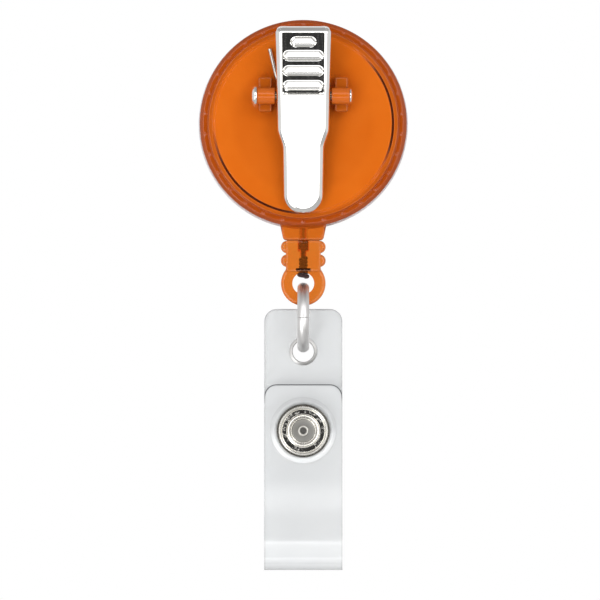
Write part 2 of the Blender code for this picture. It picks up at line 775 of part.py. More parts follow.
spool_axis = joint_empty("spool_axis", 0.0, 0.0, 0.0)
cord_pull = joint_empty("cord_pull_axis", 0.0, 0.0, NOSE_BOTTOM_Z)
end_swivel = joint_empty("end_swivel_axis", 0.0, 0.0, END_TOP_Z)
ring_swing = joint_empty("ring_swing_axis", 0.0, 0.0, EYE_Z)
strap_swing = joint_empty("strap_swing_axis", 0.0, 0.0, RING_Z)
flap_axis = joint_empty("flap_axis", 0.0, FOLD_Y, FOLD_Z - FOLD_R)
clip_axis = joint_empty("clip_axis", 0.0, PIVOT_Y, PIVOT_Z)

build_rear_case(orange)
build_front_cover(clear)
build_spool(white, spool_axis)
build_power_spring(spring_steel)
build_cord(cord, spool_axis, cord_pull)
build_cord_end(orange_end, end_swivel)
build_ring(nickel, ring_swing)
build_strap(vinyl, strap_swing, flap_axis)
build_eyelet(nickel, strap_swing)
build_snap(snap_metal, strap_swing, flap_axis)
build_clip_lever(nickel, clip_axis)
build_clip_rivet(nickel)
build_clip_spring(spring_steel)
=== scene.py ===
"""The looks of a retractable badge reel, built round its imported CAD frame."""

import math

import bmesh
import bpy
import numpy as np
from mathutils import Matrix, Vector


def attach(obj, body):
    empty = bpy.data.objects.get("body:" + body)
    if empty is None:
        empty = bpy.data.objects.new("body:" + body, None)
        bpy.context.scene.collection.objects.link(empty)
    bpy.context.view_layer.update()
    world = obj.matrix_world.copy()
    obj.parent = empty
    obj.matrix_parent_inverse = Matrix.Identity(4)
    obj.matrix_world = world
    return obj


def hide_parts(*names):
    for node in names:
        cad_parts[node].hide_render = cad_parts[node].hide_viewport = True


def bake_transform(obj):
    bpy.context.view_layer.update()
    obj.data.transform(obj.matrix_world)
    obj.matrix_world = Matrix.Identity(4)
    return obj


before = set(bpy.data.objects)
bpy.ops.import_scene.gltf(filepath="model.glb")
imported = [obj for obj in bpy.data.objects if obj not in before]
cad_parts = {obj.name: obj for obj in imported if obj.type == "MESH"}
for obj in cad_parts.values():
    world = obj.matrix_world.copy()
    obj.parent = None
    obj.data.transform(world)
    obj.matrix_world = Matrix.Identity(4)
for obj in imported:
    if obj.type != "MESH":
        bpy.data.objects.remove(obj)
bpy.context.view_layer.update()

MM = 0.001
AXIS_Y = Matrix.Rotation(math.radians(-90), 4, "X")
AXIS_X = Matrix.Rotation(math.radians(90), 4, "Y")
FACE_XZ = Matrix.Rotation(math.radians(90), 4, "X")
SHARP = 35.0
WELD = 0.0000004

# ---------------------------------------------------------------- camera
CAMERA_DISTANCE = 1.0
VIEW_WIDTH = 0.09146
VIEW_X, VIEW_Z = -0.5, -26.83
SENSOR_WIDTH = 36.0
camera_data = bpy.data.cameras.new("camera")
camera_data.sensor_width = SENSOR_WIDTH
camera_data.lens = SENSOR_WIDTH * CAMERA_DISTANCE / VIEW_WIDTH
camera_data.clip_start = 0.01
camera_data.clip_end = 20.0
camera = bpy.data.objects.new("camera", camera_data)
camera.location = (VIEW_X * MM, -CAMERA_DISTANCE, VIEW_Z * MM)
camera.rotation_euler = (math.radians(90), 0.0, 0.0)
bpy.context.scene.collection.objects.link(camera)
bpy.context.scene.camera = camera
bpy.context.scene.view_settings.view_transform = "Standard"


# ---------------------------------------------------------------- mesh helpers
def add_object(name, data):
    obj = bpy.data.objects.new(name, data)
    bpy.context.scene.collection.objects.link(obj)
    return obj


def evaluated_mesh(obj):
    bpy.context.view_layer.update()
    graph = bpy.context.evaluated_depsgraph_get()
    return bpy.data.meshes.new_from_object(obj.evaluated_get(graph))


def tidy_mesh(obj, sharp=SHARP):
    """Welds the mesh, turns its normals outwards and smooths it up to that edge angle."""
    shape = bmesh.new()
    shape.from_mesh(obj.data)
    bmesh.ops.remove_doubles(shape, verts=shape.verts, dist=WELD)
    bmesh.ops.dissolve_degenerate(shape, edges=shape.edges, dist=WELD)
    bmesh.ops.recalc_face_normals(shape, faces=shape.faces)
    shape.to_mesh(obj.data)
    shape.free()
    obj.data.shade_smooth()
    obj.data.set_sharp_from_angle(angle=math.radians(sharp))
    return obj


def mesh_object(name, points, faces, matrix=None, sharp=SHARP):
    mesh = bpy.data.meshes.new(name)
    mesh.from_pydata([tuple(p) for p in points], [], faces)
    if matrix is not None:
        mesh.transform(matrix)
    return tidy_mesh(add_object(name, mesh), sharp)


def apply_modifiers(obj, sharp=SHARP):
    mesh, old = evaluated_mesh(obj), obj.data
    obj.modifiers.clear()
    obj.data = mesh
    bpy.data.meshes.remove(old)
    return tidy_mesh(obj, sharp)


def combine(obj, others, operation, sharp=SHARP):
    """Joins or cuts with whole meshes, which are then removed."""
    for other in others:
        modifier = obj.modifiers.new(other.name, "BOOLEAN")
        modifier.operation = operation
        modifier.solver = "EXACT"
        modifier.object = other
    apply_modifiers(obj, sharp)
    for other in others:
        bpy.data.objects.remove(other, do_unlink=True)


def bevelled(obj, width, angle=40.0, sharp=SHARP):
    modifier = obj.modifiers.new("Round", "BEVEL")
    modifier.width = width
    modifier.segments = 3
    modifier.limit_method = "ANGLE"
    modifier.angle_limit = math.radians(angle)
    modifier.harden_normals = False
    return apply_modifiers(obj, sharp)


def in_mm(points):
    """Points in metres from points in millimetres."""
    return [tuple(v * MM for v in point) for point in points]


def at(*place):
    return Matrix.Translation(Vector(place))


def across(z):
    """Turned pieces are built about local Z: this lays them along Y at that height, in mm."""
    return at(0.0, 0.0, z * MM) @ AXIS_Y


def smooth(t):
    t = min(1.0, max(0.0, t))
    return t * t * (3 - 2 * t)


def filleted(corners, closed=False, step=12.0):
    """Points along a path of (u, v) or (u, v, radius) corners, with those radii rounded."""
    points = []
    count = len(corners)
    for i, corner in enumerate(corners):
        here = Vector(corner[:2])
        radius = corner[2] if len(corner) > 2 else 0.0
        if not radius or (not closed and i in (0, count - 1)):
            points.append(tuple(here))
            continue
        before = Vector(corners[i - 1][:2]) - here
        after = Vector(corners[(i + 1) % count][:2]) - here
        half = before.angle(after) / 2
        reach = min(radius / math.tan(half), 0.49 * before.length, 0.49 * after.length)
        radius = reach * math.tan(half)
        before.normalize()
        after.normalize()
        centre = here + (before + after).normalized() * radius / math.sin(half)
        first = here + before * reach - centre
        turn = math.pi - 2 * half
        turn *= 1 if before.cross(after) < 0 else -1
        steps = max(2, math.ceil(math.degrees(abs(turn)) / step))
        for k in range(steps + 1):
            points.append(tuple(centre + Matrix.Rotation(turn * k / steps, 2) @ first))
    return points


def circle(count):
    return [2 * math.pi * i / count for i in range(count)]


def lathe(name, profile, matrix, segments=128, closed=False, angles=None, lift=None):
    """Turns (radius, height) points about local Z. lift(i, angle) adds to a point's height."""
    angles = angles or circle(segments)
    points, rows = [], []
    for i, (radius, height) in enumerate(profile):
        if radius < 0.00000001:
            rows.append([len(points)] * len(angles))
            points.append((0.0, 0.0, height))
            continue
        rows.append(range(len(points), len(points) + len(angles)))
        for angle in angles:
            rise = lift(i, angle) if lift else 0.0
            points.append((radius * math.cos(angle), radius * math.sin(angle), height + rise))
    faces = []
    pairs = list(zip(rows, rows[1:])) + ([(rows[-1], rows[0])] if closed else [])
    for low, high in pairs:
        for k in range(len(angles)):
            after = (k + 1) % len(angles)
            face = [low[k], low[after], high[after], high[k]]
            face = [v for j, v in enumerate(face) if v not in face[:j]]
            if len(face) > 2:
                faces.append(face)
    return mesh_object(name, points, faces, matrix)


def slab(name, outline, half, rounding, steps=4):
    """A closed (x, z) outline with that half thickness along Y and rounded edges."""
    curve = bpy.data.curves.new(name, "CURVE")
    curve.dimensions = "2D"
    curve.fill_mode = "BOTH"
    curve.extrude = half - rounding
    curve.bevel_depth = rounding
    curve.bevel_resolution = steps
    curve.offset = -rounding
    spline = curve.splines.new("POLY")
    spline.points.add(len(outline) - 1)
    for place, point in zip(spline.points, outline):
        place.co = (*point, 0.0, 1.0)
    spline.use_cyclic_u = True
    helper = add_object(name + "_curve", curve)
    mesh = evaluated_mesh(helper)
    mesh.name = name
    bpy.data.objects.remove(helper, do_unlink=True)
    mesh.transform(FACE_XZ)
    return tidy_mesh(add_object(name, mesh))


def sleeve_faces(count, size):
    """Quads from each closed loop of points to the next."""
    return [
        (low + k, low + (k + 1) % size, low + size + (k + 1) % size, low + size + k)
        for low in range(0, (count - 1) * size, size)
        for k in range(size)
    ]


def grid_faces(count, wide):
    """Quads from each open row of points to the next."""
    return [
        (low, low + 1, low + wide + 1, low + wide)
        for start in range(0, (count - 1) * wide, wide)
        for low in range(start, start + wide - 1)
    ]


def tube(name, path, radius, sides=12, swell=None):
    """A round tube along a path, with flat ends. swell(i) scales the radius at a point."""
    path = [Vector(p) for p in path]
    count = len(path)
    normal = None
    points = []
    for i, here in enumerate(path):
        before = path[i - 1] if i else here
        after = path[i + 1] if i < count - 1 else here
        along = (after - before).normalized()
        if normal is None:
            normal = along.orthogonal().normalized()
        normal = (normal - along * normal.dot(along)).normalized()
        side = along.cross(normal)
        reach = radius * (swell(i) if swell else 1.0)
        for angle in circle(sides):
            points.append(here + (normal * math.cos(angle) + side * math.sin(angle)) * reach)
    faces = sleeve_faces(count, sides)
    for ring, end in ((0, path[0]), ((count - 1) * sides, path[-1])):
        faces += [(ring + k, ring + (k + 1) % sides, len(points)) for k in range(sides)]
        points.append(end)
    return mesh_object(name, points, faces, sharp=50.0)


def cylinder(name, radius, low, high, matrix, segments=64, top=None):
    top = radius if top is None else top
    profile = [(0.0, low), (radius, low), (top, high), (0.0, high)]
    return lathe(name, profile, matrix, segments)


def box(name, low, high):
    points = [(x, y, z) for x in (low[0], high[0]) for y in (low[1], high[1]) for z in (low[2], high[2])]
    faces = [(0, 1, 3, 2), (4, 6, 7, 5), (0, 4, 5, 1), (2, 3, 7, 6), (0, 2, 6, 4), (1, 5, 7, 3)]
    return mesh_object(name, points, faces)


# ---------------------------------------------------------------- material helpers
SCUFFS, FLOW, LINES, PATCHES = 2600.0, 420.0, 2400.0, 260.0


class Graph:
    """A node tree with short ways to add linked nodes."""

    def __init__(self, tree):
        self.tree = tree

    def node(self, kind, inputs=(), **settings):
        made = self.tree.nodes.new("ShaderNode" + kind)
        for key, value in settings.items():
            setattr(made, key, value)
        for key, value in dict(inputs).items():
            if hasattr(value, "links"):
                self.tree.links.new(value, made.inputs[key])
            else:
                made.inputs[key].default_value = value
        return made

    def math(self, operation, first, *others):
        """One Math node, or a chain of them for more than two values."""
        for other in others or (0.0,):
            first = self.node("Math", {0: first, 1: other}, operation=operation).outputs[0]
        return first

    def times(self, *values):
        return self.math("MULTIPLY", *values)

    def ramp(self, value, *stops):
        """(position, colour or number) stops."""
        made = self.node("ValToRGB", {"Fac": value})
        marks = made.color_ramp.elements
        while len(marks) < len(stops):
            marks.new(0.5)
        for mark, (place, shade) in zip(marks, stops):
            mark.position = place
            mark.color = (*(shade if hasattr(shade, "__len__") else (shade,) * 3), 1.0)
        return made.outputs["Color"]


class Shader(Graph):
    """A Principled material driven by procedural textures, and by places in millimetres."""

    def __init__(self, name, **values):
        self.material = bpy.data.materials.new(name)
        self.material.use_nodes = True
        super().__init__(self.material.node_tree)
        self.bsdf = self.tree.nodes["Principled BSDF"]
        self.coords = self.node("TexCoord").outputs["Object"]
        for key, value in values.items():
            self.bsdf.inputs[key.replace("_", " ")].default_value = value

    def drive(self, socket, value):
        self.tree.links.new(value, self.bsdf.inputs[socket])

    def mapped(self, **inputs):
        return self.node("Mapping", {"Vector": self.coords, **inputs}).outputs["Vector"]

    def noise(self, scale, detail, vector=None):
        inputs = {"Vector": vector or self.coords, "Scale": scale, "Detail": detail, "Roughness": 0.55}
        return self.node("TexNoise", inputs).outputs["Fac"]

    def bump(self, height, strength, distance):
        inputs = {"Height": height, "Strength": strength, "Distance": distance}
        return self.node("Bump", inputs).outputs["Normal"]

    def place(self, axis):
        return self.math("DIVIDE", self.node("SeparateXYZ", {0: self.coords}).outputs[axis], MM)

    def length(self, vector):
        return self.node("VectorMath", {0: vector}, operation="LENGTH").outputs["Value"]

    def from_axis(self, z=0.0):
        """The distance from a line along Y at that height."""
        return self.length(self.mapped(Location=(0.0, 0.0, -z), Scale=(1 / MM, 0.0, 1 / MM)))

    def span(self, value, low, high):
        """0 where the value is at low, up to 1 at high."""
        return self.node("MapRange", {"Value": value, "From Min": low, "From Max": high}).outputs[0]

    def window(self, value, low, high, soft):
        """1 between low and high, falling to 0 over soft on each side."""
        return self.times(self.span(value, low - soft, low), self.span(value, high + soft, high))

    def mixed(self, share, first, second):
        return self.node("Mix", {0: share, 6: first, 7: second}, data_type="RGBA").outputs[2]

    def tinted(self, first, second):
        inputs = {0: 1.0, 6: first, 7: second}
        return self.node("Mix", inputs, data_type="RGBA", blend_type="MULTIPLY").outputs[2]

    def rings(self, z, reach, *stops):
        """(radius, shade) stops out to reach, round a line along Y at that height."""
        share = self.math("DIVIDE", self.from_axis(z), reach)
        return self.ramp(share, *((radius / reach, shade) for radius, shade in stops))

    def drifting(self, low, high, scale, detail=2.0):
        """A colour that drifts slowly between two shades."""
        return self.ramp(self.noise(scale, detail), (0.3, low), (0.7, high))

    def moulded(self, roughness):
        """The fine scuffs and faint flow marks of moulded plastic."""
        scuffs = self.noise(SCUFFS, 4.0)
        self.drive("Roughness", self.ramp(scuffs, (0.35, roughness), (0.75, roughness + 0.09)))
        flow = self.noise(FLOW, 2.0, self.mapped(Scale=(1.0, 1.0, 0.45)))
        self.drive("Normal", self.bump(flow, 0.25, 0.00004))

    def brushed(self, roughness, brush=(1.0, 1.0, 1.0), strength=0.25, distance=0.000006):
        """Fine lines along brush's short direction, and a patchy polish."""
        lines = self.noise(LINES, 5.0, self.mapped(Scale=brush))
        self.drive("Roughness", self.ramp(lines, (0.3, roughness), (0.8, roughness + 0.12)))
        self.drive("Normal", self.bump(lines, strength, distance))


def finish_piece(obj, material, body, slot_name, *replaced):
    """Sets a piece's material and body, and keeps its flat faces flat in the shading; slot_name is not used.
    """
    weights = obj.modifiers.new("Flat faces", "WEIGHTED_NORMAL")
    weights.keep_sharp = True
    weights.weight = 100
    mesh = evaluated_mesh(obj)
    obj.modifiers.clear()
    obj.data = mesh
    obj.data.materials.clear()
    obj.data.materials.append(material)
    if replaced:
        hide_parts(*replaced)
    if body:
        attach(obj, body)


def turned_piece(name, corners, matrix, material, body, slot_name, node, closed=False, segments=96):
    profile = in_mm(filleted(corners, closed))
    finish_piece(lathe(name, profile, matrix, segments, closed), material, body, slot_name, node)


def metal(name, low, high, *finish):
    """Plated or drawn metal: finish is the roughness, and the brush's shape and depth."""
    shader = Shader(name, Metallic=1.0)
    shader.drive("Base Color", shader.drifting(low, high, PATCHES, 3.0))
    shader.brushed(*finish)
    return shader.material


NICKEL = metal("bright_nickel", (0.88, 0.87, 0.84), (0.95, 0.94, 0.92), 0.05, (1.0, 1.0, 0.08), 0.2, 0.000003)
WIRE = metal("nickel_wire", (0.74, 0.73, 0.72), (0.88, 0.87, 0.86), 0.36, (1.0, 0.4, 0.4), 0.5, 0.00002)
EYELET = metal("eyelet_nickel", (0.44, 0.44, 0.43), (0.60, 0.59, 0.58), 0.34, (1.0, 1.0, 1.0), 0.4, 0.00001)
STEEL = metal("spring_steel", (0.50, 0.48, 0.44), (0.66, 0.64, 0.60), 0.2, (1.0, 1.0, 0.2))

# ---------------------------------------------------------------- case
CASE_REACH = 20.0
BACK_Y = -4.2 * MM
PIVOT = Vector((0.0, -7.05 * MM, 4.06 * MM))
CASE_SEGMENTS = 180
TICK_STEP = 12
TICK_BAND = (14.65, 15.6)
TICK_DEPTH = 0.045
GROOVE = (13.45, 13.8)
GROOVE_ARCS = ((128.0, 58.0), (351.0, 50.0))


def case_material():
    """The case's orange, with painted light and shade: bright over the white spool, darker in the groove, on
    the rim and on the lugs.
    """
    shader = Shader("orange_case", IOR=1.5, Specular_IOR_Level=0.3)
    body = shader.drifting((0.86, 0.180, 0.010), (0.91, 0.204, 0.014), 160.0)
    # Painted light and shade in rings: a touch darker over the spool's middle, full over the white spool,
    # painted shade on the outer rim and a paler edge beyond it.
    rim = shader.rings(
        0.0,
        CASE_REACH,
        (10.0, (0.95, 0.93, 0.93)),
        (11.2, (1.0, 1.0, 1.0)),
        (13.8, (1.0, 1.0, 1.0)),
        (13.92, (0.86, 0.82, 0.8)),
        (14.4, (0.84, 0.80, 0.8)),
        (14.6, (0.68, 0.54, 0.4)),
        (15.64, (0.62, 0.50, 0.4)),
        (16.0, (1.0, 1.1, 1.5)),
    )
    depth = shader.place("Y")
    # Painted shade on the lug blocks behind the back face, lighter again out at the barrels.
    outward = shader.span(depth, -4.3, -8.3)
    lug_painted_shade = shader.ramp(outward, (0.0, 1.0), (0.17, 0.70), (0.56, 0.72), (0.75, 0.92), (1.0, 0.95))
    lit = shader.tinted(body, shader.tinted(rim, lug_painted_shade))
    # Painted shade in the groove: near-black brown where the groove is cut deep.
    inward = shader.span(depth, -4.3, -3.3)
    groove_painted_shade_depth = shader.ramp(inward, (0.2, 0.0), (0.55, 0.93), (0.75, 0.93), (0.9, 0.0))
    groove = shader.times(shader.window(shader.from_axis(), 13.4, 13.84, 0.06), groove_painted_shade_depth)
    shader.drive("Base Color", shader.mixed(groove, lit, (0.09, 0.020, 0.002, 1.0)))
    clear = shader.rings(0.0, CASE_REACH, (13.2, 0.30), (14.0, 0.42), (15.78, 0.42), (16.0, 0.75))
    shader.drive("Transmission Weight", clear)
    shader.moulded(0.06)
    return shader.material


def case_angles():
    """Even steps round the case, and four closer ones at each tick."""
    found = [round(360 * i / CASE_SEGMENTS, 3) for i in range(CASE_SEGMENTS)]
    ticks = range(TICK_STEP // 2, 360, TICK_STEP)
    found = [a for a in found if all(abs(a - t) > 0.7 for t in ticks)]
    found += [t + near for t in ticks for near in (-0.55, -0.25, 0.25, 0.55)]
    return [math.radians(a) for a in sorted(found)]


def build_case_shell():
    groove_in, groove_out = GROOVE
    corners = [
        (0.0, 3.1),
        (1.5, 3.1, 0.3),
        (1.5, -2.8, 0.1),
        (14.25, -2.8, 0.25),
        (14.25, 2.7, 0.08),
        (15.75, 2.7, 0.12),
        (15.75, -2.75, 0.5),
        (15.25, -3.4, 0.3),
        (14.5, -3.4, 0.12),
        (14.4, -4.2, 0.14),
        (groove_out, -4.2, 0.08),
        (groove_out - 0.06, -3.65, 0.12),
        (groove_in + 0.06, -3.65, 0.12),
        (groove_in, -4.2, 0.08),
        (0.0, -4.2),
    ]
    profile = in_mm(filleted(corners, step=18.0))

    def lift(i, angle):
        """Notches at the ticks, and a groove filled up outside its two arcs."""
        radius, height = profile[i]
        if TICK_BAND[0] * MM < radius < TICK_BAND[1] * MM and height < -2.9 * MM:
            turn = math.degrees(angle) % TICK_STEP - TICK_STEP / 2
            return -TICK_DEPTH * MM if abs(turn) < 0.4 else 0.0
        if groove_in * MM < radius < groove_out * MM and height < -3.0 * MM:
            turned = math.degrees(angle) + 180
            near = [1 - abs((turned - middle) % 360 - 180) / half for middle, half in GROOVE_ARCS]
            return (BACK_Y + 0.06 * MM - height) * (1 - smooth(1.4 * max(near)))
        return 0.0

    shell = lathe("case_shell", profile, AXIS_Y, angles=case_angles(), lift=lift)
    nose = [
        (3.64, -14.9, 0.0),
        (3.03, -17.75, 0.6),
        (-3.03, -17.75, 0.6),
        (-3.64, -14.9, 0.0),
    ]
    joined = [slab("nose", in_mm(filleted(nose, True)), 2.3 * MM, 0.35 * MM)]
    barrel = in_mm(filleted([(0.0, -1.36), (1.26, -1.36, 0.15), (1.26, 1.36, 0.15), (0.0, 1.36)]))
    for side in (-1, 1):
        inner, outer = sorted((side * 4.75 * MM, side * 6.8 * MM))
        low = (inner, PIVOT.y + 0.55 * MM, 1.7 * MM)
        high = (outer, BACK_Y + 0.4 * MM, 6.95 * MM)
        joined.append(bevelled(box(f"block_{side}", low, high), 0.3 * MM))
        joined.append(lathe(f"barrel_{side}", barrel, at(side * 5.66 * MM, PIVOT.y, PIVOT.z) @ AXIS_X, 48))
    combine(shell, joined, "UNION")
    cutters = [
        cylinder("bore", 0.7 * MM, -18.5 * MM, -13.9 * MM, Matrix.Identity(4)),
        cylinder("flare", 0.7 * MM, -15.4 * MM, -14.0 * MM, Matrix.Identity(4), top=2.1 * MM),
        cylinder("rivet_bore", 0.78 * MM, -8 * MM, 8 * MM, at(*PIVOT) @ AXIS_X, 40),
        box("post_slot", (-0.25 * MM, -1.4 * MM, -2 * MM), (0.25 * MM, 4 * MM, 2 * MM)),
    ]
    combine(shell, cutters, "DIFFERENCE")
    finish_piece(shell, case_material(), "case", "orange_case", "rear_case")


def cover_material():
    """Clear plastic, cloudier in the thick rim."""
    shader = Shader("clear_cover", IOR=1.45)
    shader.drive("Base Color", shader.drifting((0.95, 0.89, 0.91), (0.98, 0.93, 0.95), 180.0))
    shader.drive("Transmission Weight", shader.rings(0.0, CASE_REACH, (15.1, 0.8), (15.5, 0.25)))
    shader.moulded(0.03)
    return shader.material


def build_cover():
    corners = [
        (0.0, 4.6),
        (13.7, 4.6, 0.6),
        (14.8, 4.42, 0.6),
        (15.6, 3.95, 0.5),
        (16.0, 3.3, 0.25),
        (15.97, 3.0, 0.08),
        (13.95, 3.0, 0.05),
        (13.95, 1.9, 0.12),
        (13.35, 1.9, 0.12),
        (13.35, 3.4, 0.2),
        (2.8, 3.4, 0.1),
        (2.8, 2.4, 0.12),
        (1.8, 2.4, 0.12),
        (1.8, 3.4, 0.1),
        (0.0, 3.4),
    ]
    clear = cover_material()
    turned_piece("cover", corners, AXIS_Y, clear, "case", "clear_cover", "front_cover", segments=192)


build_case_shell()
build_cover()


# ---------------------------------------------------------------- spool, spring and cord
CORD_R = 0.35 * MM
LEAVE_R = 12.95 * MM
BEND_Z = -14.6 * MM
STRAIGHT_Z = -15.5
LAYER_STEP = 0.72


def spool_material():
    """Opaque white plastic."""
    shader = Shader("spool_white", IOR=1.5)
    shader.drive("Base Color", shader.drifting((0.84, 0.83, 0.79), (0.90, 0.89, 0.86), 180.0))
    shader.moulded(0.35)
    return shader.material


def cord_material():
    """Fine braided cord: two crossing diagonal bands make the plaits, with fuzz on top."""
    shader = Shader("maroon_cord", Sheen_Weight=0.4, Sheen_Roughness=0.5)
    waves = []
    for lean in (38, -38):
        turned = shader.mapped(Rotation=(0.0, math.radians(lean), 0.0))
        inputs = {"Vector": turned, "Scale": 900.0, "Distortion": 0.6, "Detail": 1.0}
        waves.append(shader.node("TexWave", inputs, bands_direction="Z").outputs["Fac"])
    plait = shader.times(*waves)
    fuzz = shader.noise(9000.0, 3.0)
    shader.drive("Base Color", shader.ramp(plait, (0.1, (0.012, 0.002, 0.003)), (0.8, (0.06, 0.010, 0.012))))
    shader.drive("Roughness", shader.ramp(fuzz, (0.3, 0.7), (0.7, 0.95)))
    shader.drive("Normal", shader.bump(shader.math("ADD", plait, fuzz), 0.8, 0.00004))
    return shader.material


CORD = cord_material()


def build_spool():
    corners = [
        (7.8, 2.1, 0.1),
        (13.2, 2.1, 0.25),
        (13.2, 1.3, 0.15),
        (8.7, 1.3, 0.1),
        (8.7, -1.3, 0.1),
        (13.2, -1.3, 0.15),
        (13.2, -2.4, 0.25),
        (1.8, -2.4, 0.1),
        (1.8, -1.5, 0.1),
        (7.8, -1.5, 0.2),
    ]
    white = spool_material()
    turned_piece("spool_moulding", corners, AXIS_Y, white, "spool_body", "spool_plastic", "spool", True, 160)


def build_mainspring():
    """A flat steel strip, hooked in the post's slot and wound out to the drum."""
    turns, per_turn = 6, 60
    middle = [(0.0, -1.2), (0.0, 1.3)]
    for i in range(turns * per_turn + 1):
        angle = math.radians(90 - 360 * i / per_turn)
        radius = 2.1 + 5.3 * i / (turns * per_turn)
        middle.append((radius * math.cos(angle), radius * math.sin(angle)))
    corners = [(-0.09, -1.1, 0.06), (0.09, -1.1, 0.06), (0.09, 1.7, 0.06), (-0.09, 1.7, 0.06)]
    section = filleted(corners, True, 45.0)
    points = []
    for i, here in enumerate(middle):
        before, after = Vector(middle[max(i - 1, 0)]), Vector(middle[min(i + 1, len(middle) - 1)])
        along = (after - before).normalized()
        side = Vector((-along.y, along.x))
        for reach, y in section:
            place = Vector(here) + side * reach
            points.append((place.x * MM, y * MM, place.y * MM))
    size = len(section)
    faces = sleeve_faces(len(middle), size)
    faces += [tuple(range(size)), tuple(range(len(points) - size, len(points)))]
    finish_piece(mesh_object("mainspring", points, faces), STEEL, "case", "spring_steel", "power_spring")


def build_wound_cord():
    """The cord on the drum: three turns side by side in each of five layers."""
    per_turn, crossing = 60, 9
    columns, layers = (-0.76, 0.0, 0.76), 5
    path = []
    for layer in range(layers):
        radius = 9.2 + LAYER_STEP * layer
        places = columns if layer % 2 == 0 else columns[::-1]
        for column, y in enumerate(places):
            if (layer, column) == (layers - 1, 2):
                break
            following = places[column + 1] if column < 2 else y
            for i in range(per_turn):
                share = max(0.0, (i - (per_turn - crossing)) / crossing)
                here = radius + (LAYER_STEP * share if column == 2 else 0.0)
                angle = -2 * math.pi * i / per_turn - 0.8
                path.append((here * math.cos(angle), y + (following - y) * share, here * math.sin(angle)))
    finish_piece(tube("cord_wound", in_mm(path), CORD_R, 10), CORD, "spool_body", "cord", "cord_winding")


def build_cord_line():
    """From the winding through the outlet to the cord end."""
    leave = math.acos(LEAVE_R / -BEND_Z)
    start = Vector((LEAVE_R * math.sin(leave), 0.0, -LEAVE_R * math.cos(leave)))
    bend = Vector((0.0, 0.0, BEND_Z))
    below = Vector((0.0, 0.0, STRAIGHT_Z * MM))
    near = bend.lerp(start, 0.09)
    path = [start.lerp(near, i / 12) for i in range(12)]
    for i in range(11):
        t = i / 10
        path.append(near * (1 - t) ** 2 + bend * 2 * t * (1 - t) + below * t * t)
    path += [Vector((0.0, 0.0, (STRAIGHT_Z - 5.2 * i / 200) * MM)) for i in range(1, 201)]
    line = tube("cord_line", path, CORD_R)
    finish_piece(line, CORD, None, "cord", "cord_lead", "cord_run")
    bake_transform(line)


def helix(turns, steps, radius, top, drop):
    """Points in mm down the cord's axis. radius(share) is the helix's radius there."""
    path = []
    for i in range(steps + 1):
        share = i / steps
        angle = 2 * math.pi * turns * share
        path.append((radius(share) * math.cos(angle), radius(share) * math.sin(angle), top - drop * share))
    return path


def build_knot():
    """The stopper knot: tight wraps round the cord, with its cut end turned once in the eye."""
    path = helix(5, 180, lambda share: 0.36 + 0.25 * smooth((share - 0.78) / 0.12), -20.45, 2.8)
    knot = tube("cord_stopper_knot", in_mm([*path, (0.2, 0.05, -23.26)]), 0.34 * MM)
    finish_piece(knot, CORD, "cord_tip", "cord", "cord_knot")


def build_whipping():
    """A few turns of the cord's end round its line, in the mouth of the cord end."""
    path = helix(3.2, 100, lambda share: 0.55, -18.16, 0.95)
    finish_piece(tube("cord_whipping", in_mm(path), 0.22 * MM), CORD, "cord_tip", "cord")


build_spool()
build_mainspring()
build_wound_cord()
build_cord_line()
build_knot()
build_whipping()


# ---------------------------------------------------------------- cord end and ring
EYE_Z = -24.3
RING_Z = -29.5 * MM


def cord_end_material():
    """The cord end's clearer orange, with painted shade only in its two moulded slots."""
    shader = Shader("orange_cord_end", IOR=1.5, Specular_IOR_Level=0.4)
    body = shader.drifting((0.92, 0.23, 0.025), (0.96, 0.28, 0.035), 180.0)
    # Painted shade in the two slots: near black and opaque there.
    level = shader.window(shader.place("Z"), -22.26, -22.0, 0.01)
    inside = shader.span(shader.math("ABSOLUTE", shader.place("X")), 1.13, 1.11)
    slot = shader.times(level, inside)
    shader.drive("Base Color", shader.mixed(slot, body, (0.05, 0.010, 0.004, 1.0)))
    shader.drive("Transmission Weight", shader.ramp(slot, (0.0, 0.88), (1.0, 0.0)))
    shader.moulded(0.05)
    return shader.material


def build_cord_end():
    """A ribbed neck and an eye, hollow where the cord and its knot sit."""
    core = [
        (2.66, -17.765, 0.3),
        (2.66, -22.5, 0.0),
        (-2.66, -22.5, 0.0),
        (-2.66, -17.765, 0.3),
    ]
    end = slab("cord_end_moulding", in_mm(filleted(core, True)), 1.9 * MM, 0.3 * MM)
    joined = []
    for i, z in enumerate((-18.76, -20.85)):
        rib = [
            (3.41, z + 0.95, 0.93),
            (3.41, z - 0.95, 0.93),
            (-3.41, z - 0.95, 0.93),
            (-3.41, z + 0.95, 0.93),
        ]
        joined.append(slab(f"rib_{i}", in_mm(filleted(rib, True)), 1.6 * MM, 0.5 * MM, 6))
    disc = filleted([(0.0, -1.05), (3.4, -1.05, 0.5), (3.4, 1.05, 0.5), (0.0, 1.05)])
    joined.append(lathe("eye_disc", in_mm(disc), across(EYE_Z), 96))
    combine(end, joined, "UNION")
    hollows = (
        ("mouth", 0.84, -19.45, -17.0),
        ("throat", 0.45, -20.3, -19.3),
        ("chamber", 0.8, -23.4, -20.15),
    )
    cutters = [cylinder("eye_hole", 1.66 * MM, -3 * MM, 3 * MM, across(EYE_Z), 96)]
    for name, half, low, high in hollows:
        cutters.append(box(name, (-half * MM, -half * MM, low * MM), (half * MM, half * MM, high * MM)))
    for side in (-1, 1):
        near, far = sorted((side * 2.5 * MM, side * 1.2 * MM))
        cutters.append(box(f"slot_{side}", (-1.1 * MM, near, -22.24 * MM), (1.1 * MM, far, -22.02 * MM)))
    combine(end, cutters, "DIFFERENCE")
    finish_piece(end, cord_end_material(), "end_piece", "orange_end", "cord_end")


